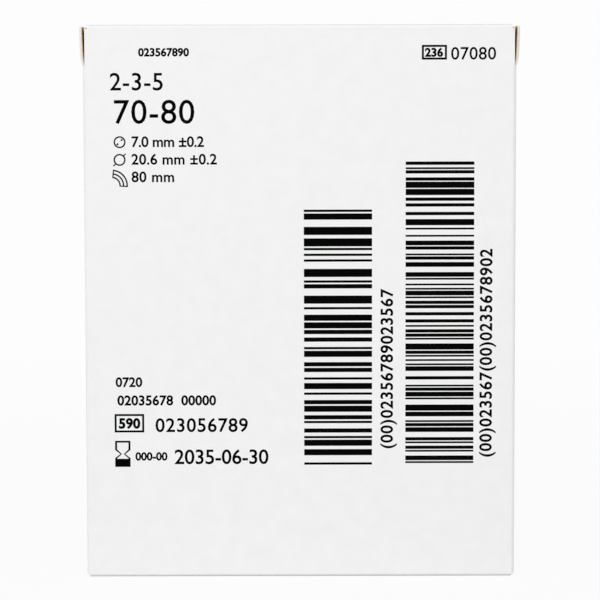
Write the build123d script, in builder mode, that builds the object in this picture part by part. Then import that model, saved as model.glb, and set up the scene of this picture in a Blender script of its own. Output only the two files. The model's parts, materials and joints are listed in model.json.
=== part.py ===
"""Folding carton with a tuck-in lid, folded and glued from one sheet of board."""
import os
from math import asin, degrees, radians, tan

from build123d import *

# Driving dimensions of the closed carton, in millimetres
carton_width = 148.0
carton_depth = 50.0
carton_height = 190.5
board = 0.6
corner_inner_radius = 1.0
fold_inner_radius = 0.4

# Glued seam at the left rear corner
glue_flap_width = 13.0
glue_flap_slope = 5.0

# Lid and tuck-in tongue
lid_inset = 1.5
lid_seat_gap = 0.2
crease_gap = 0.15
tongue_length = 16.0
tongue_clearance = 0.4
tongue_inset = 2.5
tongue_corner_radius = 9.0

# Dust flaps under the lid
dust_flap_length = 40.0
dust_flap_shoulder = 9.0
dust_flap_taper = 4.0
dust_flap_corner_radius = 7.0
dust_flap_clearance = 0.6

# Front panel's shoulders, and the side panels' front corners that are slit free and have sprung out
ledge_drop = 1.4
slit_length = 13.8
slit_inset = 0.65
ear_clearance = 0.3
ear_length = 9.0
ear_lip_length = 1.2
ear_lip_turn = 0.6
ear_drop = 0.4
ear_bow = 1.25
ear_step = 1.05
ear_step_height = 0.5
ear_fold_drop = 2.4
ear_fold_inner_radius = 0.1
ear_flap_length = 2.2
ear_flap_slope = 68.0
rear_edge_drop = 0.3

# Glued bottom, from the outside in: front flap, rear flap, two side flaps
bottom_inset = 1.0
bottom_edge_gap = 1.0
corner_nip = 1.25
side_flap_length = 40.0
side_flap_taper = 3.0

# Sizes that follow
half_width = carton_width / 2
half_depth = carton_depth / 2
corner_radius = corner_inner_radius + board
fold_radius = fold_inner_radius + board
ear_fold_radius = ear_fold_inner_radius + board
fold_overlap = 5 * fold_radius
panel_half_width = half_width - corner_radius
panel_half_depth = half_depth - corner_radius
lid_half_width = half_width - lid_inset
dust_flap_top = carton_height - board - lid_seat_gap
wall_bottom = 2 * board + fold_radius
wall_top = dust_flap_top - fold_radius
ledge_top = carton_height - ledge_drop
slit_bottom = carton_height - slit_length
ear_front = -half_depth + board + ear_clearance
ear_bend = ear_front + ear_lip_length
ear_back = ear_front + ear_length
ear_fold_start = carton_height - ear_fold_drop
ear_middle = (slit_bottom + ear_fold_start) / 2
front_corner_bottom = fold_radius / 2
rear_corner_bottom = board + fold_radius / 2

# The lid turns on the sharp corner outside its crease, where the two outer faces would meet.
# The tongue is an arc about that line, so it slides out along itself.
hinge = (-half_depth, carton_height)
crease_center = (-half_depth + fold_radius, carton_height - fold_radius)
crease_gap_angle = degrees(asin(crease_gap / 2 / fold_radius))
tongue_radius = carton_depth - board - tongue_clearance
tongue_angle = degrees(asin(tongue_length / tongue_radius))
tongue_corner = (-half_depth + tongue_radius, carton_height)
dust_flap_rear = -half_depth + tongue_radius - board - dust_flap_clearance

# A dust flap's front corner hangs, so its fold is sharper there. The apex is where the fold's two
# outer faces would meet.
ear_half_fold = radians(90 - ear_flap_slope) / 2
ear_apex = carton_height - ear_drop + ear_fold_radius * (1 / tan(ear_half_fold) - 1)
ear_flap_end = ear_apex - (ear_bow + ear_flap_length) * tan(radians(ear_flap_slope))


def bent_board(points, radius, side):
    """Add the section of board that follows a bent line with its outer face."""
    with BuildLine() as edge:
        FilletPolyline(*points, radius=radius)
        offset(amount=board, side=side)
    make_face(edge.edges())


def arc_board(center, inner_radius, start_angle, arc_size):
    """Add the section of board that is curved about a centre."""
    with BuildLine() as edge:
        outer = CenterArc(center, inner_radius + board, start_angle, arc_size)
        inner = CenterArc(center, inner_radius, start_angle, arc_size)
        Line(outer @ 0, inner @ 0)
        Line(outer @ 1, inner @ 1)
    make_face(edge.edges())


def tapered_flap(length, shoulder, front, rear, taper, corner):
    """Add the outline, seen from above, of a flap that reaches in from the right panel."""
    free_end = half_width - length
    root = half_width - shoulder
    with BuildLine() as edge:
        Polyline(
            (half_width, front),
            (root, front),
            (free_end, front + taper),
            (free_end, rear - taper),
            (root, rear),
            (half_width, rear),
            close=True,
        )
    outline = make_face(edge.edges())
    fillet(outline.vertices().group_by(Axis.X)[0], corner)


def slit_edge(shift):
    """Add the section of the right panel along its slit, moved sideways."""
    with BuildLine() as edge:
        faces = []
        for face in (half_width + shift, half_width + shift - board):
            faces.append(
                Bezier(
                    (face, slit_bottom),
                    (face + ear_step, slit_bottom + ear_step_height),
                    (face + ear_step, ear_middle),
                    (face + ear_bow, ear_fold_start),
                )
            )
        Line(faces[0] @ 0, faces[1] @ 0)
        Line(faces[0] @ 1, faces[1] @ 1)
    make_face(edge.edges())


# Dust flap of the right panel, with its fold
with BuildPart() as dust_flap:
    with BuildSketch(Plane.XZ.offset(-ear_back)):
        bent_board(
            [
                (half_width, wall_top - fold_overlap),
                (half_width, dust_flap_top),
                (half_width - dust_flap_length, dust_flap_top),
            ],
            fold_radius,
            Side.LEFT,
        )
    extrude(amount=ear_back - dust_flap_rear)
    with BuildSketch(Plane.XY.offset(dust_flap_top)):
        tapered_flap(
            dust_flap_length,
            dust_flap_shoulder,
            ear_back,
            dust_flap_rear,
            dust_flap_taper,
            dust_flap_corner_radius,
        )
    extrude(amount=-2 * fold_overlap, mode=Mode.INTERSECT)

# Bottom flap of the right panel, with its fold
with BuildPart() as side_flap:
    with BuildSketch(Plane.XZ):
        bent_board(
            [
                (half_width, wall_bottom + fold_overlap),
                (half_width, 2 * board),
                (half_width - side_flap_length, 2 * board),
            ],
            fold_radius,
            Side.RIGHT,
        )
    extrude(amount=panel_half_depth, both=True)
    with BuildSketch(Plane.XY):
        tapered_flap(
            side_flap_length,
            fold_radius,
            -panel_half_depth,
            panel_half_depth,
            side_flap_taper,
            side_flap_taper,
        )
    extrude(amount=2 * fold_overlap, mode=Mode.INTERSECT)

# Front corner of the right panel and its dust flap, free along the slit and sprung outwards. The
# strip of the front panel that stays on it is still turned in.
with BuildPart() as ear:
    for place, shift in ((ear_front, -ear_lip_turn), (ear_bend, 0)):
        with BuildSketch(Plane.XZ.offset(-place)):
            slit_edge(shift)
    with BuildSketch(Plane.XZ.offset(-ear_back)):
        with Locations((half_width - board / 2, ear_middle)):
            Rectangle(board, ear_fold_start - slit_bottom)
    loft(ruled=True)

    # Its fold, which flattens out towards the rest of the dust flap
    for place, shift in ((ear_front, -ear_lip_turn), (ear_bend, 0)):
        with BuildSketch(Plane.XZ.offset(-place)):
            bent_board(
                [
                    (half_width + shift + ear_bow, ear_fold_start),
                    (half_width + shift + ear_bow, ear_apex),
                    (half_width + shift - ear_flap_length, ear_flap_end),
                ],
                ear_fold_radius,
                Side.LEFT,
            )
    with BuildSketch(Plane.XZ.offset(-ear_back)):
        bent_board(
            [
                (half_width, ear_fold_start),
                (half_width, dust_flap_top),
                (half_width - dust_flap_shoulder, dust_flap_top),
            ],
            fold_radius,
            Side.LEFT,
        )
    loft(ruled=True)

# The folded sheet without its lid
with BuildPart() as carton_body:
    # Upright panels, wrapped round from the seam at the left rear corner
    with BuildSketch(Plane.XY.offset(wall_bottom)):
        bent_board(
            [
                (-half_width + board, half_depth - 2 * corner_radius),
                (-half_width + board, half_depth),
                (half_width, half_depth),
                (half_width, -half_depth),
                (0, -half_depth),
            ],
            corner_radius,
            Side.RIGHT,
        )
        bent_board(
            [(-half_width, panel_half_depth), (-half_width, -half_depth), (0, -half_depth)],
            corner_radius,
            Side.LEFT,
        )
    extrude(amount=wall_top - wall_bottom)

    # Glue flap against the left panel's inside
    with BuildSketch(Plane.YZ.offset(-half_width + board)):
        with BuildLine():
            Polyline(
                (panel_half_depth, wall_bottom),
                (panel_half_depth, wall_top),
                (half_depth - glue_flap_width, wall_top - glue_flap_slope),
                (half_depth - glue_flap_width, wall_bottom + glue_flap_slope),
                close=True,
            )
        make_face()
    extrude(amount=board)

    # Rear panel's raw top edge, flush with the lid
    with BuildSketch(Plane.XZ.offset(-half_depth)):
        with Locations((board / 2, wall_top)):
            Rectangle(
                2 * panel_half_width - board,
                carton_height - rear_edge_drop - wall_top,
                align=(Align.CENTER, Align.MIN),
            )
    extrude(amount=board)

    # Slits down the front corners, with the side panels' freed corners cut away
    with BuildSketch(Plane.XY.offset(slit_bottom)):
        for side in (-1, 1):
            with Locations((side * panel_half_width, -half_depth)):
                Rectangle(
                    2 * corner_radius,
                    ear_back + half_depth,
                    align=(Align.MAX if side < 0 else Align.MIN, Align.MIN),
                )
    extrude(amount=slit_length, mode=Mode.SUBTRACT)

    # Front panel's flat edges along the slits, up to its shoulders
    with BuildSketch(Plane.XZ.offset(half_depth)):
        with Locations((0, slit_bottom)):
            Rectangle(
                2 * (half_width - slit_inset),
                ledge_top - slit_bottom,
                align=(Align.CENTER, Align.MIN),
            )
    extrude(amount=-board)

    # Lower half of the lid's fold
    with BuildSketch(Plane.YZ):
        with Locations((-half_depth, wall_top)):
            Rectangle(board, carton_height - fold_radius - wall_top, align=(Align.MIN, Align.MIN))
        arc_board(crease_center, fold_inner_radius, 180, -45 + crease_gap_angle)
    extrude(amount=lid_half_width, both=True)

    # Bottom flaps of the front and rear panels, glued face to face
    with BuildSketch(Plane.YZ):
        bent_board(
            [
                (-half_depth, wall_bottom + fold_overlap),
                (-half_depth, 0),
                (half_depth - bottom_edge_gap, 0),
            ],
            fold_radius,
            Side.LEFT,
        )
    extrude(amount=half_width - bottom_inset, both=True)
    with BuildSketch(Plane.YZ):
        bent_board(
            [
                (half_depth, wall_bottom + fold_overlap),
                (half_depth, board),
                (-half_depth + board + bottom_edge_gap, board),
            ],
            fold_radius,
            Side.RIGHT,
        )
    extrude(amount=half_width - bottom_inset - board, both=True)

    # Corner curves, down to the bottom creases, with their ends nipped off
    with BuildSketch(Plane.XY.offset(front_corner_bottom)):
        arc_board((-panel_half_width, -panel_half_depth), corner_inner_radius, 180, 90)
        arc_board((panel_half_width, -panel_half_depth), corner_inner_radius, 270, 90)
    extrude(amount=wall_bottom - front_corner_bottom)
    with BuildSketch(Plane.XY.offset(rear_corner_bottom)):
        arc_board((board - panel_half_width, panel_half_depth), corner_inner_radius, 90, 90)
        arc_board((panel_half_width, panel_half_depth), corner_inner_radius, 0, 90)
    extrude(amount=wall_bottom - rear_corner_bottom)
    with BuildSketch(Plane.XZ):
        for side in (-1, 1):
            with BuildLine():
                Polyline(
                    (side * half_width, 0),
                    (side * half_width, corner_nip),
                    (side * (half_width - corner_nip), 0),
                    close=True,
                )
            make_face()
    extrude(amount=half_depth, both=True, mode=Mode.SUBTRACT)

    # Side panels' flaps and freed corners
    add(dust_flap.part)
    add(side_flap.part)
    add(ear.part)
    mirror(dust_flap.part, about=Plane.YZ)
    mirror(side_flap.part, about=Plane.YZ)
    mirror(ear.part, about=Plane.YZ)

# Lid panel with the upper half of its fold, and the tongue
with BuildPart() as top_lid:
    with BuildSketch(Plane.YZ):
        with BuildLine() as outer_face:
            CenterArc(
                crease_center, fold_radius, 135 - crease_gap_angle, -45 + crease_gap_angle
            )
            Line((-half_depth + fold_radius, carton_height), tongue_corner)
            CenterArc(hinge, tongue_radius, 0, -tongue_angle)
            fillet(outer_face.vertices().sort_by_distance(tongue_corner)[0], fold_radius)
            offset(amount=board, side=Side.RIGHT)
        make_face()
    extrude(amount=lid_half_width, both=True)

    # Tongue's narrower outline, with rounded corners
    with BuildSketch(Plane.XZ.offset(-half_depth)):
        with Locations((0, carton_height - fold_radius)):
            Rectangle(2 * half_width, tongue_length, align=(Align.CENTER, Align.MAX))
            RectangleRounded(
                2 * (lid_half_width - tongue_inset),
                2 * (tongue_length - fold_radius),
                tongue_corner_radius,
                mode=Mode.SUBTRACT,
            )
    extrude(amount=half_depth, mode=Mode.SUBTRACT)

os.makedirs("parts", exist_ok=True)

carton_body.part.label = "carton_body"
export_step(carton_body.part, "parts/carton_body.step")

top_lid.part.label = "top_lid"
export_step(top_lid.part, "parts/top_lid.step")
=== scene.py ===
"""Looks of the folding carton: board finishes, lid crease, label print, floor, light and camera."""
import json
import math
import random

import bmesh
import bpy
from mathutils import Matrix, Vector
from mathutils.bvhtree import BVHTree


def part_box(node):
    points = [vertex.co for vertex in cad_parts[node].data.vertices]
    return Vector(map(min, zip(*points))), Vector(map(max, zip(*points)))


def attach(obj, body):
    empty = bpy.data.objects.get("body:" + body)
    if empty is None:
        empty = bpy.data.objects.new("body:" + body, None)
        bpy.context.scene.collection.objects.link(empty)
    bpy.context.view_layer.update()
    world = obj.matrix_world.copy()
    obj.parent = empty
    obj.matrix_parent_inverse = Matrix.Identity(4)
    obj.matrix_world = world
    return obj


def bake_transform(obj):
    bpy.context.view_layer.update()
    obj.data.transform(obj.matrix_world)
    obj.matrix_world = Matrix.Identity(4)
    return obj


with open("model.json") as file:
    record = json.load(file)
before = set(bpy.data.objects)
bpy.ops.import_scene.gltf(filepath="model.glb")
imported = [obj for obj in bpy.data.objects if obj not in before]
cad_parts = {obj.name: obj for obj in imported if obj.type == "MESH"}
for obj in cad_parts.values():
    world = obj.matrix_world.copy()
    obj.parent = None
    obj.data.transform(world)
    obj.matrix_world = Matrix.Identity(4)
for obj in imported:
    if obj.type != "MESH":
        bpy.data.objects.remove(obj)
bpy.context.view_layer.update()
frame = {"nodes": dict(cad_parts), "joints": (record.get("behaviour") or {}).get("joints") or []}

MM = 0.001

# Carton sizes, in metres, from the frame where it has them
FOLD_RADIUS = 1.0 * MM
LID_INSET = 1.5 * MM  # from the carton's side to the lid's
hinge = Vector(frame["joints"][0]["pos_m"])
lid_low, lid_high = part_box("top_lid")
half_width = lid_high.x + LID_INSET
half_depth = -hinge.y
carton_top = hinge.z

# In the finishes below, a grain is a noise's cycles a metre, detail and roughness. Tones are colours at
# levels of a noise. A span is the part of a noise that is used, and a share or roughness is what it
# becomes, from the span's start to its end. A bump is its strength and depth.
NOISE_SPAN = (0.3, 0.7)

# Coated face
COAT_TONES = ((0.3, (0.862, 0.862, 0.862)), (0.7, (0.892, 0.892, 0.889)))
COAT_CLOUD_GRAIN = (160.0, 5.0, 0.6)
COAT_TOOTH_GRAIN = (3800.0, 2.0, 0.5)
COAT_FORMATION_GRAIN = (420.0, 3.0, 0.5)
COAT_FORMATION_WEIGHT = 2.0
COAT_ROUGHNESS = (0.50, 0.60)
COAT_SPECULAR = 0.35
COAT_BUMP = (0.25, 0.02 * MM)

# Wear of the coated face along the upright creases
WEAR_COLOR = (0.70, 0.69, 0.67)
WEAR_GRAIN = (1400.0, 4.0, 0.65)
WEAR_SPAN = (0.5, 0.75)
WEAR_SHARE = (0.0, 0.5)
WEAR_REACH = 1.8 * MM

# Painted shade on the coated face at the foot, where the bottom fold turns under towards the floor,
# over a height above the floor
FOOT_SHADE_COLOR = (0.56, 0.555, 0.55)
FOOT_SHADE_RISE = (0.2 * MM, 1.0 * MM)
FOOT_SHADE_SHARE = (0.75, 0.0)

# Painted shade on the coated face along the top of the lid's crease, over a depth under the top and one
# behind the label
CROWN_SHADE_COLOR = (0.60, 0.595, 0.59)
CROWN_SHADE_DROP = (0.5 * MM, 0.1 * MM)
CROWN_SHADE_SHARE = (0.0, 0.6)
CROWN_SHADE_DEPTH = (0.8 * MM, 1.6 * MM)

# Brown face
KRAFT_TONES = ((0.25, (0.37, 0.20, 0.082)), (0.75, (0.54, 0.31, 0.135)))
KRAFT_CLOUD_GRAIN = (260.0, 6.0, 0.65)
KRAFT_ROUGHNESS = 0.88
KRAFT_SPECULAR = 0.2
KRAFT_BUMP = (0.5, 0.04 * MM)
FIBRE_COLOR = (0.24, 0.12, 0.045)
FIBRE_STRETCH = (1.0, 1.0, 0.16)
FIBRE_GRAIN = (2400.0, 3.0, 0.7)
FIBRE_SPAN = (0.56, 0.72)
FIBRE_SHARE = (0.0, 0.55)
FLECK_COLOR = (0.68, 0.50, 0.30)
FLECK_GRAIN = (900.0, 1.0, 0.5)
FLECK_SPAN = (0.68, 0.76)
FLECK_SHARE = (0.0, 0.5)

# Cut edge, with its layers from the coated face, at 0, to the brown one, at 1
EDGE_LAYERS = (
    (0.12, (0.88, 0.88, 0.87)),
    (0.45, (0.76, 0.54, 0.31)),
    (0.95, (0.36, 0.19, 0.07)),
)
EDGE_GRAIN = (2600.0, 4.0, 0.7)
EDGE_RAGGED_SHARE = (-0.12, 0.12)
EDGE_ROUGHNESS = 0.9
EDGE_SPECULAR = 0.2
EDGE_BUMP = (0.6, 0.05 * MM)
INWARD = "inward"  # name of the mark that says how far through the board a vertex lies

# Printing ink
INK_TONES = ((0.3, (0.0008, 0.0008, 0.0008)), (0.75, (0.002, 0.002, 0.002)))
INK_GRAIN = (900.0, 4.0, 0.6)
INK_ROUGHNESS = (0.7, 0.85)
INK_SPECULAR = 0.02


def empty_tree(owner):
    """Give a material or world a node tree with nothing in it."""
    owner.use_nodes = True
    owner.node_tree.nodes.clear()
    return owner.node_tree


def set_inputs(tree, node, inputs):
    """Fill a node's inputs. Each gets a value, or a socket to link from."""
    for key, value in inputs.items():
        if isinstance(value, bpy.types.NodeSocket):
            tree.links.new(value, node.inputs[key])
        else:
            node.inputs[key].default_value = value


def add_node(tree, kind, inputs=None, **settings):
    """Add a shader node with its settings and inputs."""
    node = tree.nodes.new(kind)
    for name, value in settings.items():
        setattr(node, name, value)
    set_inputs(tree, node, inputs or {})
    return node


def new_material(name):
    """Make a node material with its shader linked, and return it with its tree and shader."""
    material = bpy.data.materials.new(name)
    tree = empty_tree(material)
    shader = add_node(tree, "ShaderNodeBsdfPrincipled")
    add_node(tree, "ShaderNodeOutputMaterial", {"Surface": shader.outputs["BSDF"]})
    return material, tree, shader


def own_place(tree):
    """A point's place in its object's own coordinates, in metres."""
    return add_node(tree, "ShaderNodeTexCoord").outputs["Object"]


def noise(tree, place, grain):
    """Noise over a place."""
    scale, detail, roughness = grain
    texture = add_node(
        tree,
        "ShaderNodeTexNoise",
        {"Vector": place, "Scale": scale, "Detail": detail, "Roughness": roughness},
    )
    return texture.outputs["Fac"]


def ramp(tree, factor, stops):
    """Colour by a factor. Each stop is a factor and the colour there."""
    colors = add_node(tree, "ShaderNodeValToRGB", {"Fac": factor})
    elements = colors.color_ramp.elements
    for element, (position, color) in zip(elements, (stops[0], stops[-1])):
        element.position = position
        element.color = (*color, 1.0)
    for position, color in stops[1:-1]:
        elements.new(position).color = (*color, 1.0)
    return colors.outputs["Color"]


def remap(tree, value, from_span, to_span):
    """Value moved from one span to another, held at its ends."""
    mapped = add_node(
        tree,
        "ShaderNodeMapRange",
        {
            "Value": value,
            "From Min": from_span[0],
            "From Max": from_span[1],
            "To Min": to_span[0],
            "To Max": to_span[1],
        },
    )
    return mapped.outputs["Result"]


def math_node(tree, operation, first, second=0.0):
    """One operation on one or two values."""
    return add_node(
        tree, "ShaderNodeMath", {0: first, 1: second}, operation=operation
    ).outputs["Value"]


def mix_color(tree, factor, under, over):
    """One colour laid over another by a factor."""
    mixed = add_node(
        tree,
        "ShaderNodeMix",
        {"Factor": factor, "A": under, "B": (*over, 1.0)},
        data_type="RGBA",
    )
    return mixed.outputs["Result"]


def bump(tree, height, strength, depth):
    """Normals of a fine relief."""
    relief = add_node(
        tree, "ShaderNodeBump", {"Height": height, "Strength": strength, "Distance": depth}
    )
    return relief.outputs["Normal"]


def crease_mask(tree, parts):
    """1 on the carton's four upright creases, falling to 0 within the reach of their wear."""
    from_side = math_node(
        tree, "SUBTRACT", half_width, math_node(tree, "ABSOLUTE", parts["X"])
    )
    from_face = math_node(
        tree, "SUBTRACT", half_depth, math_node(tree, "ABSOLUTE", parts["Y"])
    )
    further = math_node(tree, "MAXIMUM", from_side, from_face)
    return remap(tree, further, (0.0, WEAR_REACH), (1.0, 0.0))


def crown_shade_mask(tree, parts):
    """How much painted shade the lid's crease gets: most at its top, and 0 behind it and on the label
    panel.
    """
    heights = [carton_top - drop for drop in CROWN_SHADE_DROP]
    depths = [depth - half_depth for depth in CROWN_SHADE_DEPTH]
    risen = remap(tree, parts["Z"], heights, CROWN_SHADE_SHARE)
    front = remap(tree, parts["Y"], depths, (1.0, 0.0))
    return math_node(tree, "MULTIPLY", risen, front)


def coated_board():
    """White clay-coated face: faint clouds, fine tooth, wear at the creases, and painted shade at the
    foot and on the lid's crease.
    """
    material, tree, shader = new_material("coated_board")
    place = own_place(tree)
    parts = add_node(tree, "ShaderNodeSeparateXYZ", {"Vector": place}).outputs
    cloud = noise(tree, place, COAT_CLOUD_GRAIN)
    white = ramp(tree, cloud, COAT_TONES)
    wear = remap(tree, noise(tree, place, WEAR_GRAIN), WEAR_SPAN, WEAR_SHARE)
    worn = math_node(tree, "MULTIPLY", wear, crease_mask(tree, parts))
    color = mix_color(tree, worn, white, WEAR_COLOR)
    # Painted shade along the bottom fold, where it turns under towards the floor
    foot = remap(tree, parts["Z"], FOOT_SHADE_RISE, FOOT_SHADE_SHARE)
    color = mix_color(tree, foot, color, FOOT_SHADE_COLOR)
    # Painted shade along the top of the lid's crease
    color = mix_color(tree, crown_shade_mask(tree, parts), color, CROWN_SHADE_COLOR)
    tooth = noise(tree, place, COAT_TOOTH_GRAIN)
    formation = noise(tree, place, COAT_FORMATION_GRAIN)
    formation = math_node(tree, "MULTIPLY", formation, COAT_FORMATION_WEIGHT)
    relief = math_node(tree, "ADD", tooth, formation)
    looks = {
        "Base Color": color,
        "Roughness": remap(tree, cloud, NOISE_SPAN, COAT_ROUGHNESS),
        "Specular IOR Level": COAT_SPECULAR,
        "Normal": bump(tree, relief, *COAT_BUMP),
    }
    set_inputs(tree, shader, looks)
    return material


def kraft_inside():
    """Bare brown face: pulp fibres, flecks and a rough matt tooth."""
    material, tree, shader = new_material("kraft_inside")
    place = own_place(tree)
    brown = ramp(tree, noise(tree, place, KRAFT_CLOUD_GRAIN), KRAFT_TONES)
    stretched = add_node(
        tree, "ShaderNodeMapping", {"Vector": place, "Scale": FIBRE_STRETCH}
    )
    fibre = noise(tree, stretched.outputs["Vector"], FIBRE_GRAIN)
    dark = remap(tree, fibre, FIBRE_SPAN, FIBRE_SHARE)
    color = mix_color(tree, dark, brown, FIBRE_COLOR)
    pale = remap(tree, noise(tree, place, FLECK_GRAIN), FLECK_SPAN, FLECK_SHARE)
    looks = {
        "Base Color": mix_color(tree, pale, color, FLECK_COLOR),
        "Roughness": KRAFT_ROUGHNESS,
        "Specular IOR Level": KRAFT_SPECULAR,
        "Normal": bump(tree, fibre, *KRAFT_BUMP),
    }
    set_inputs(tree, shader, looks)
    return material


def cut_edge():
    """Cut edge of the board: white at the coated face, through tan to the brown back."""
    material, tree, shader = new_material("cut_edge")
    fibre = noise(tree, own_place(tree), EDGE_GRAIN)
    inward = add_node(tree, "ShaderNodeAttribute", attribute_name=INWARD).outputs["Fac"]
    ragged = math_node(tree, "ADD", inward, remap(tree, fibre, NOISE_SPAN, EDGE_RAGGED_SHARE))
    looks = {
        "Base Color": ramp(tree, ragged, EDGE_LAYERS),
        "Roughness": EDGE_ROUGHNESS,
        "Specular IOR Level": EDGE_SPECULAR,
        "Normal": bump(tree, fibre, *EDGE_BUMP),
    }
    set_inputs(tree, shader, looks)
    return material


def printing_ink():
    """Black print: nearly even and matt, a little uneven with the board under it."""
    material, tree, shader = new_material("printing_ink")
    cloud = noise(tree, own_place(tree), INK_GRAIN)
    looks = {
        "Base Color": ramp(tree, cloud, INK_TONES),
        "Roughness": remap(tree, cloud, NOISE_SPAN, INK_ROUGHNESS),
        "Specular IOR Level": INK_SPECULAR,
    }
    set_inputs(tree, shader, looks)
    return material


BOARD_FINISHES = [coated_board(), kraft_inside(), cut_edge()]
COATED, KRAFT, CUT = range(len(BOARD_FINISHES))

# A face is a cut edge where no opposite face of the sheet lies this near behind it
CUT_EDGE_DEPTH = 3.0 * MM
# Faces are opposite where the dot product of their normals is no more than this
OPPOSITE = -0.7
# The search for an opposite face starts this far behind a face
SEARCH_START = 0.01 * MM
# Vertices on the same spot of a grid of this size are taken as one
SPOT_GRID = 0.01 * MM
# Box in the carton that the body's outer faces look away from: its distance from the walls, from
# the floor and from the top
CORE_INSET = 1.5 * MM
CORE_FOOT = 2.5 * MM
CORE_DROP = 9.5 * MM
# How far under the top the point lies that the lid's outer faces look away from
LID_CENTER_DROP = 40.0 * MM


def add_object(name, data):
    """Put a mesh, curve, lamp or lens into the scene as an object."""
    piece = bpy.data.objects.new(name, data)
    bpy.context.scene.collection.objects.link(piece)
    return piece


def mark_inward(mesh):
    """Mark how far through the board each vertex lies: 0 at the coated face, 1 at the brown one."""

    def spot(vertex):
        return tuple(round(value / SPOT_GRID) for value in vertex.co)

    touching = {}
    for face in mesh.polygons:
        for index in face.vertices:
            touching.setdefault(spot(mesh.vertices[index]), set()).add(face.material_index)
    marks = mesh.attributes.new(INWARD, "FLOAT", "POINT")
    for vertex, mark in zip(mesh.vertices, marks.data):
        sides = touching[spot(vertex)]
        mark.value = (1 + (KRAFT in sides) - (COATED in sides)) / 2


def nearest_in_box(point, low, high):
    """The point of a box that lies nearest to another point."""
    limits = zip(point, low, high)
    return Vector([min(max(value, least), most) for value, least, most in limits])


def finish_sheet(node, core_low, core_high):
    """Give a folded sheet, whose outside looks away from a core, its white, brown and cut faces."""
    mesh = node.data
    mesh.materials.clear()
    for material in BOARD_FINISHES:
        mesh.materials.append(material)
    corners = [vertex.co for vertex in mesh.vertices]
    tree = BVHTree.FromPolygons(corners, [tuple(face.vertices) for face in mesh.polygons])
    for face in mesh.polygons:
        start = face.center - face.normal * SEARCH_START
        spot, normal, _, _ = tree.ray_cast(start, -face.normal, CUT_EDGE_DEPTH)
        outward = face.center - nearest_in_box(face.center, core_low, core_high)
        if spot is None or normal.dot(face.normal) > OPPOSITE:
            face.material_index = CUT
        elif face.normal.dot(outward) > 0:
            face.material_index = COATED
        else:
            face.material_index = KRAFT
    mark_inward(mesh)


# Coated skin over the lid's crease: its thickness, its lap on the flat board, and its facets
CREASE_SKIN = 0.04 * MM
CREASE_LAP = 0.5 * MM
CREASE_ARC_STEPS = 10
CREASE_LENGTH_STEPS = 60
CREASE_SHARP_DEGREES = 40


def crease_section():
    """Line round the skin's section: outside from the label panel to the lid, then inside back."""
    center = Vector((0.0, -half_depth + FOLD_RADIUS, carton_top - FOLD_RADIUS))
    outer = FOLD_RADIUS + CREASE_SKIN / 2
    inner = FOLD_RADIUS - CREASE_SKIN / 2
    section = []
    for radius, order in ((outer, 1), (inner, -1)):
        line = [center + Vector((0.0, -radius, -CREASE_LAP))]
        for step in range(CREASE_ARC_STEPS + 1):
            angle = math.radians(180 - 90 * step / CREASE_ARC_STEPS)
            line.append(center + Vector((0.0, math.cos(angle), math.sin(angle))) * radius)
        line.append(center + Vector((0.0, CREASE_LAP, radius)))
        section.extend(line[::order])
    return section


def lid_crease():
    """The coated skin that runs over the lid's fold, from the label panel to the lid."""
    section = crease_section()
    count = len(section)
    shape = bmesh.new()
    rings = []
    for step in range(CREASE_LENGTH_STEPS + 1):
        x = lid_low.x + (lid_high.x - lid_low.x) * step / CREASE_LENGTH_STEPS
        rings.append([shape.verts.new(point + Vector((x, 0.0, 0.0))) for point in section])
    for near, far in zip(rings, rings[1:]):
        for index in range(count):
            after = (index + 1) % count
            shape.faces.new((near[index], near[after], far[after], far[index]))
    shape.faces.new(rings[0][::-1])
    shape.faces.new(rings[-1])
    bmesh.ops.recalc_face_normals(shape, faces=shape.faces)
    mesh = bpy.data.meshes.new("lid_crease")
    shape.to_mesh(mesh)
    shape.free()
    mesh.polygons.foreach_set("use_smooth", [True] * len(mesh.polygons))
    mesh.set_sharp_from_angle(angle=math.radians(CREASE_SHARP_DEGREES))
    mesh.materials.append(BOARD_FINISHES[COATED])
    piece = add_object("lid_crease", mesh)
    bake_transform(piece)


# Label print. Sizes are millimetres, and places are across and down from the panel's top left corner.
INK_THICKNESS = 0.02
INK_SUNK = 0.005
INK_WELD = 0.001
CIRCLE_STEPS = 48
ARC_STEPS = 16
RING_STROKE = 0.5
BOX_STROKE = 0.7

# Bar codes: left, right, top, bottom, length in modules, and seed of the chance widths
BAR_CODES = (
    (75.3, 98.7, 63.2, 151.3, 134, 319),
    (110.2, 133.7, 46.8, 150.8, 211, 38),
)
BAR_WIDTHS = (1, 1, 1, 1, 2, 2, 2, 3, 3, 4)
BAR_SPREAD = 0.075

# Boxes: left, top, right and bottom
FRAME_BOXES = ((115.65, 7.0, 124.2, 12.0), (9.9, 133.6, 20.1, 140.0))
HOURGLASS_BOX = (10.0, 142.9, 15.3, 152.0)
# Right half of the hourglass and of the open glass over its sand, as shares of its width and height
HOURGLASS_SIDE = [(0.97, 0.0), (1.0, 0.03), (1.0, 0.35), (0.66, 0.51), (1.0, 0.66), (1.0, 1.0)]
HOURGLASS_OPENING = [(0.87, 0.07), (0.87, 0.33), (0.56, 0.51), (0.87, 0.67), (0.87, 0.69)]

# Signs beside the measures. Their centres are across and down, and a tick is its near end, its far end
# and its stroke.
BORE_SIGN = (12.4, 39.9)
BORE_TICK = (0.7, 1.4, 0.6)
OUTSIDE_SIGN = (12.35, 45.95)
OUTSIDE_TICK = (1.9, 3.0, 0.42)
SIGN_RADIUS = 2.05
SIGN_TICK_DEGREES = (45.0, 225.0)
LENGTH_SIGN = (9.7, 54.7)
LENGTH_ARC_RADII = (5.43, 4.2, 3.0)
LENGTH_ARC_DEGREES = (-4.0, 84.0)
LENGTH_TICK = (2.62, 5.43, 0.42)

DIGIT_HEIGHT = 0.729  # height of a figure in the built-in font, for a text size of 1
FIGURE_RESOLUTION = 4
PLUS_MINUS = "\u00b1"
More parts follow.
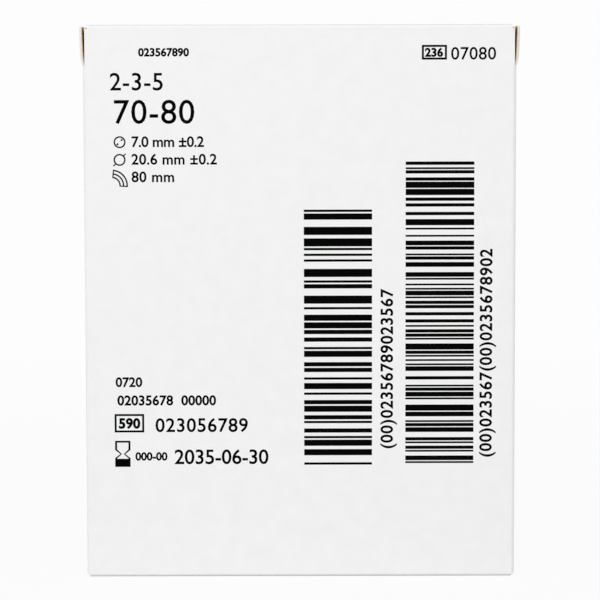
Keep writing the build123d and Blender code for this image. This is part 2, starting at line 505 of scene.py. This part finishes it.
# Figures, left end, foot, height, stroke added, letter spacing, and turn in degrees
LABEL_FIGURES = [
    ("023567890", 19.0, 10.6, 2.75, 0.3, 1.02, 0),
    ("2-3-5", 9.0, 22.2, 6.2, 0.12, 1.03, 0),
    ("70-80", 10.05, 33.55, 8.5, 0.1, 1.05, 0),
    (f"7.0 mm {PLUS_MINUS}0.2", 16.35, 41.5, 3.7, 0.21, 0.96, 0),
    (f"20.6 mm {PLUS_MINUS}0.2", 16.35, 47.5, 3.7, 0.21, 1.03, 0),
    ("80 mm", 16.35, 53.5, 3.7, 0.21, 1.05, 0),
    ("236", 116.75, 10.9, 2.9, 0.36, 1.03, 0),
    ("07080", 125.5, 11.95, 4.4, 0.12, 1.04, 0),
    ("0720", 10.35, 124.1, 3.35, 0.26, 1.0, 0),
    ("02035678  00000", 10.9, 130.5, 3.45, 0.28, 1.02, 0),
    ("590", 11.3, 138.5, 3.5, 0.42, 1.04, 0),
    ("023056789", 23.9, 139.8, 4.9, 0.2, 1.07, 0),
    ("000-00", 17.0, 149.7, 2.85, 0.27, 1.0, 0),
    ("2035-06-30", 30.4, 151.0, 5.2, 0.2, 0.985, 0),
    ("(00)02356789023567", 105.8, 146.0, 4.3, 0.26, 1.09, 90),
    ("(00)023567(00)0235678902", 139.9, 149.0, 4.3, 0.26, 1.085, 90),
]


def rectangle(left, top, right, bottom):
    """Corners of a rectangle."""
    return [(left, -top), (right, -top), (right, -bottom), (left, -bottom)]


def arc_points(across, down, radius, start, end, steps):
    """Points on an arc, in degrees from the right, turning up."""
    points = []
    for step in range(steps + 1):
        angle = math.radians(start + (end - start) * step / steps)
        points.append((across + radius * math.cos(angle), -down + radius * math.sin(angle)))
    return points


def circle(across, down, radius):
    """Points round a circle."""
    last = CIRCLE_STEPS - 1
    return arc_points(across, down, radius, 0.0, 360.0 * last / CIRCLE_STEPS, last)


def ring(across, down, radius):
    """Outer and inner line of a drawn circle."""
    return [circle(across, down, radius), circle(across, down, radius - RING_STROKE)]


def arc_stroke(across, down, radius, start, end):
    """Outline of a drawn arc."""
    outside = arc_points(across, down, radius, start, end, ARC_STEPS)
    inside = arc_points(across, down, radius - RING_STROKE, end, start, ARC_STEPS)
    return outside + inside


def tick(across, down, angle, near, far, stroke):
    """Outline of a short line that points out from a centre."""
    along = Vector((math.cos(math.radians(angle)), math.sin(math.radians(angle))))
    beside = Vector((-along.y, along.x)) * stroke / 2
    middle = Vector((across, -down))
    start, end = middle + along * near, middle + along * far
    corners = (start + beside, end + beside, end - beside, start - beside)
    return [tuple(corner) for corner in corners]


def frame_box(left, top, right, bottom):
    """Outer and inner line of a drawn box."""
    inner = (left + BOX_STROKE, top + BOX_STROKE, right - BOX_STROKE, bottom - BOX_STROKE)
    return [rectangle(left, top, right, bottom), rectangle(*inner)]


def bar_code(left, right, top, bottom, modules, seed):
    """Bars across a strip, with chance widths of 1 to 4 modules that code nothing."""
    module = (bottom - top) / modules
    chance = random.Random(seed)
    bars = []
    used = 0
    dark = True
    while used < modules:
        width = min(chance.choice(BAR_WIDTHS), modules - used)
        if dark:
            start = top + used * module - BAR_SPREAD
            end = top + (used + width) * module + BAR_SPREAD
            bars.append([rectangle(left, start, right, end)])
        used += width
        dark = not dark
    return bars


def hourglass(left, top, right, bottom):
    """Outline, and the open part of the glass over its sand."""
    width, height = right - left, bottom - top
    outlines = []
    for half in (HOURGLASS_SIDE, HOURGLASS_OPENING):
        whole = half + [(1.0 - x, y) for x, y in half[::-1]]
        outlines.append([(left + x * width, -(top + y * height)) for x, y in whole])
    return outlines


def label_shapes():
    """Groups of outlines for everything on the label that isn't a figure."""
    groups = []
    for code in BAR_CODES:
        groups += bar_code(*code)
    for box in FRAME_BOXES:
        groups.append(frame_box(*box))
    groups.append(hourglass(*HOURGLASS_BOX))
    groups.append(ring(*BORE_SIGN, SIGN_RADIUS))
    groups.append(ring(*OUTSIDE_SIGN, SIGN_RADIUS))
    for angle in SIGN_TICK_DEGREES:
        groups.append([tick(*BORE_SIGN, angle, *BORE_TICK)])
        groups.append([tick(*OUTSIDE_SIGN, angle, *OUTSIDE_TICK)])
    for radius in LENGTH_ARC_RADII:
        groups.append([arc_stroke(*LENGTH_SIGN, radius, *LENGTH_ARC_DEGREES)])
    for angle in LENGTH_ARC_DEGREES:
        groups.append([tick(*LENGTH_SIGN, angle, *LENGTH_TICK)])
    return groups


def shapes_object(outlines):
    """Filled flat shapes: an outline inside another is a hole."""
    curve = bpy.data.curves.new("label_shapes", "CURVE")
    curve.dimensions = "2D"
    curve.fill_mode = "BOTH"
    curve.extrude = INK_THICKNESS / 2
    for outline in outlines:
        spline = curve.splines.new("POLY")
        spline.points.add(len(outline) - 1)
        for point, (across, up) in zip(spline.points, outline):
            point.co = (across, up, 0.0, 1.0)
        spline.use_cyclic_u = True
    return add_object("label_shapes", curve)


def figures_object(text, left, foot, height, stroke, spacing, turn):
    """One line of figures, with its strokes thickened."""
    curve = bpy.data.curves.new("label_figures", "FONT")
    curve.body = text
    curve.size = height / DIGIT_HEIGHT
    curve.offset = stroke / 2
    curve.space_character = spacing
    curve.extrude = INK_THICKNESS / 2
    curve.resolution_u = FIGURE_RESOLUTION
    piece = add_object("label_figures", curve)
    piece.matrix_world = Matrix.Translation((left, -foot, 0.0)) @ Matrix.Rotation(
        math.radians(turn), 4, "Z"
    )
    return piece


def label_print():
    """All the label's print as one piece, a hair proud of the label panel."""
    drawn = [shapes_object(outlines) for outlines in label_shapes()]
    drawn += [figures_object(*line) for line in LABEL_FIGURES]
    bpy.context.view_layer.update()
    graph = bpy.context.evaluated_depsgraph_get()
    to_panel = (
        Matrix.Translation((-half_width, -half_depth, carton_top))
        @ Matrix.Rotation(math.radians(90), 4, "X")
        @ Matrix.Scale(MM, 4)
        @ Matrix.Translation((0.0, 0.0, INK_THICKNESS / 2 - INK_SUNK))
    )
    shape = bmesh.new()
    for piece in drawn:
        flat = bpy.data.meshes.new_from_object(piece.evaluated_get(graph))
        flat.transform(to_panel @ piece.matrix_world)
        shape.from_mesh(flat)
        bpy.data.meshes.remove(flat)
    for piece in drawn:
        curve = piece.data
        bpy.data.objects.remove(piece)
        bpy.data.curves.remove(curve)
    bmesh.ops.remove_doubles(shape, verts=shape.verts, dist=INK_WELD * MM)
    bmesh.ops.recalc_face_normals(shape, faces=shape.faces)
    mesh = bpy.data.meshes.new("label_print")
    shape.to_mesh(mesh)
    shape.free()
    mesh.materials.append(printing_ink())
    piece = add_object("label_print", mesh)
    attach(piece, "carton")


# Floor and light, in metres and watts. The floor's shadow fades out between the two clear distances.
WHITE = (1.0, 1.0, 1.0, 1.0)
FLOOR_COLOR = (0.9, 0.9, 0.9, 1.0)
FLOOR_SIZE = 24.0
FLOOR_KEEPS_SHADOW = 0.07
FLOOR_CLEAR_FROM = 0.25
FLOOR_CLEAR_TO = 0.7
BACKGROUND_LIGHT = 0.982
WORLD_LIGHT = 0.66
KEY_POWER = 7.6
KEY_SIZE = 1.3
KEY_PLACE = Vector((-0.55, -1.75, 0.5))
TOP_POWER = 4.8
TOP_SIZE = 1.0
TOP_PLACE = Vector((-0.1, -0.5, 1.3))
LIGHT_TARGET = Vector((0.0, 0.0, 0.1))

# Camera: image and focal length in pixels, sensor in millimetres, place in metres, turns in degrees
IMAGE_SIZE = 600.0
CAMERA_FOCAL_PIXELS = 2783.5
CAMERA_PLACE = Vector((-0.00005, -0.9771, 0.187))
CAMERA_PITCH = 5.442
CAMERA_ROLL = -0.122
CAMERA_CLIP_START = 0.01
SENSOR_WIDTH = 36.0


def seen_rays(tree):
    """1 on rays that show the background: straight, mirrored or through glass."""
    path = add_node(tree, "ShaderNodeLightPath").outputs
    seen = math_node(tree, "MAXIMUM", path["Is Camera Ray"], path["Is Glossy Ray"])
    return math_node(tree, "MAXIMUM", seen, path["Is Transmission Ray"])


def white_floor():
    """White floor that keeps a trace of the carton's shadow near it."""
    material = bpy.data.materials.new("white_floor")
    tree = empty_tree(material)
    matt = add_node(tree, "ShaderNodeBsdfDiffuse", {"Color": FLOOR_COLOR})
    bright = add_node(tree, "ShaderNodeEmission", {"Strength": BACKGROUND_LIGHT})
    away = add_node(tree, "ShaderNodeVectorMath", {0: own_place(tree)}, operation="LENGTH")
    clear = remap(
        tree,
        away.outputs["Value"],
        (FLOOR_CLEAR_FROM, FLOOR_CLEAR_TO),
        (1.0 - FLOOR_KEEPS_SHADOW, 1.0),
    )
    share = math_node(tree, "MULTIPLY", seen_rays(tree), clear)
    mixed = add_node(
        tree,
        "ShaderNodeMixShader",
        {0: share, 1: matt.outputs["BSDF"], 2: bright.outputs["Emission"]},
    )
    add_node(tree, "ShaderNodeOutputMaterial", {"Surface": mixed.outputs["Shader"]})
    return material


def build_floor():
    """Flat floor under the carton."""
    shape = bmesh.new()
    bmesh.ops.create_grid(shape, x_segments=1, y_segments=1, size=FLOOR_SIZE / 2)
    mesh = bpy.data.meshes.new("floor")
    shape.to_mesh(mesh)
    shape.free()
    mesh.materials.append(white_floor())
    add_object("floor", mesh)


def light_world():
    """Even white surroundings, with a plain white background behind them."""
    world = bpy.data.worlds.new("studio")
    tree = empty_tree(world)
    strength = remap(tree, seen_rays(tree), (0.0, 1.0), (WORLD_LIGHT, BACKGROUND_LIGHT))
    background = add_node(tree, "ShaderNodeBackground", {"Color": WHITE, "Strength": strength})
    add_node(tree, "ShaderNodeOutputWorld", {"Surface": background.outputs["Background"]})
    bpy.context.scene.world = world


def soft_lamp(name, power, size, place):
    """Large soft lamp, turned to the carton."""
    lamp = bpy.data.lights.new(name, "AREA")
    lamp.energy = power
    lamp.size = size
    stand = add_object(name, lamp)
    stand.location = place
    stand.rotation_euler = (LIGHT_TARGET - place).to_track_quat("-Z", "Y").to_euler()


def place_camera():
    """Camera level with the carton's top, looking slightly down at the label panel."""
    lens = bpy.data.cameras.new("camera")
    lens.sensor_width = SENSOR_WIDTH
    lens.sensor_fit = "HORIZONTAL"
    lens.lens = CAMERA_FOCAL_PIXELS / IMAGE_SIZE * SENSOR_WIDTH
    lens.clip_start = CAMERA_CLIP_START
    camera = add_object("camera", lens)
    turn = Matrix.Rotation(math.radians(90 - CAMERA_PITCH), 4, "X")
    roll = Matrix.Rotation(math.radians(CAMERA_ROLL), 4, "Z")
    camera.matrix_world = Matrix.Translation(CAMERA_PLACE) @ turn @ roll
    bpy.context.scene.camera = camera


core_high = Vector((half_width - CORE_INSET, half_depth - CORE_INSET, carton_top - CORE_DROP))
core_low = Vector((-core_high.x, -core_high.y, CORE_FOOT))
lid_center = Vector((0.0, 0.0, carton_top - LID_CENTER_DROP))
finish_sheet(frame["nodes"]["carton_body"], core_low, core_high)
finish_sheet(frame["nodes"]["top_lid"], lid_center, lid_center)
lid_crease()
label_print()
build_floor()
light_world()
soft_lamp("key", KEY_POWER, KEY_SIZE, KEY_PLACE)
soft_lamp("top", TOP_POWER, TOP_SIZE, TOP_PLACE)
place_camera()
bpy.context.scene.view_settings.view_transform = "Standard"
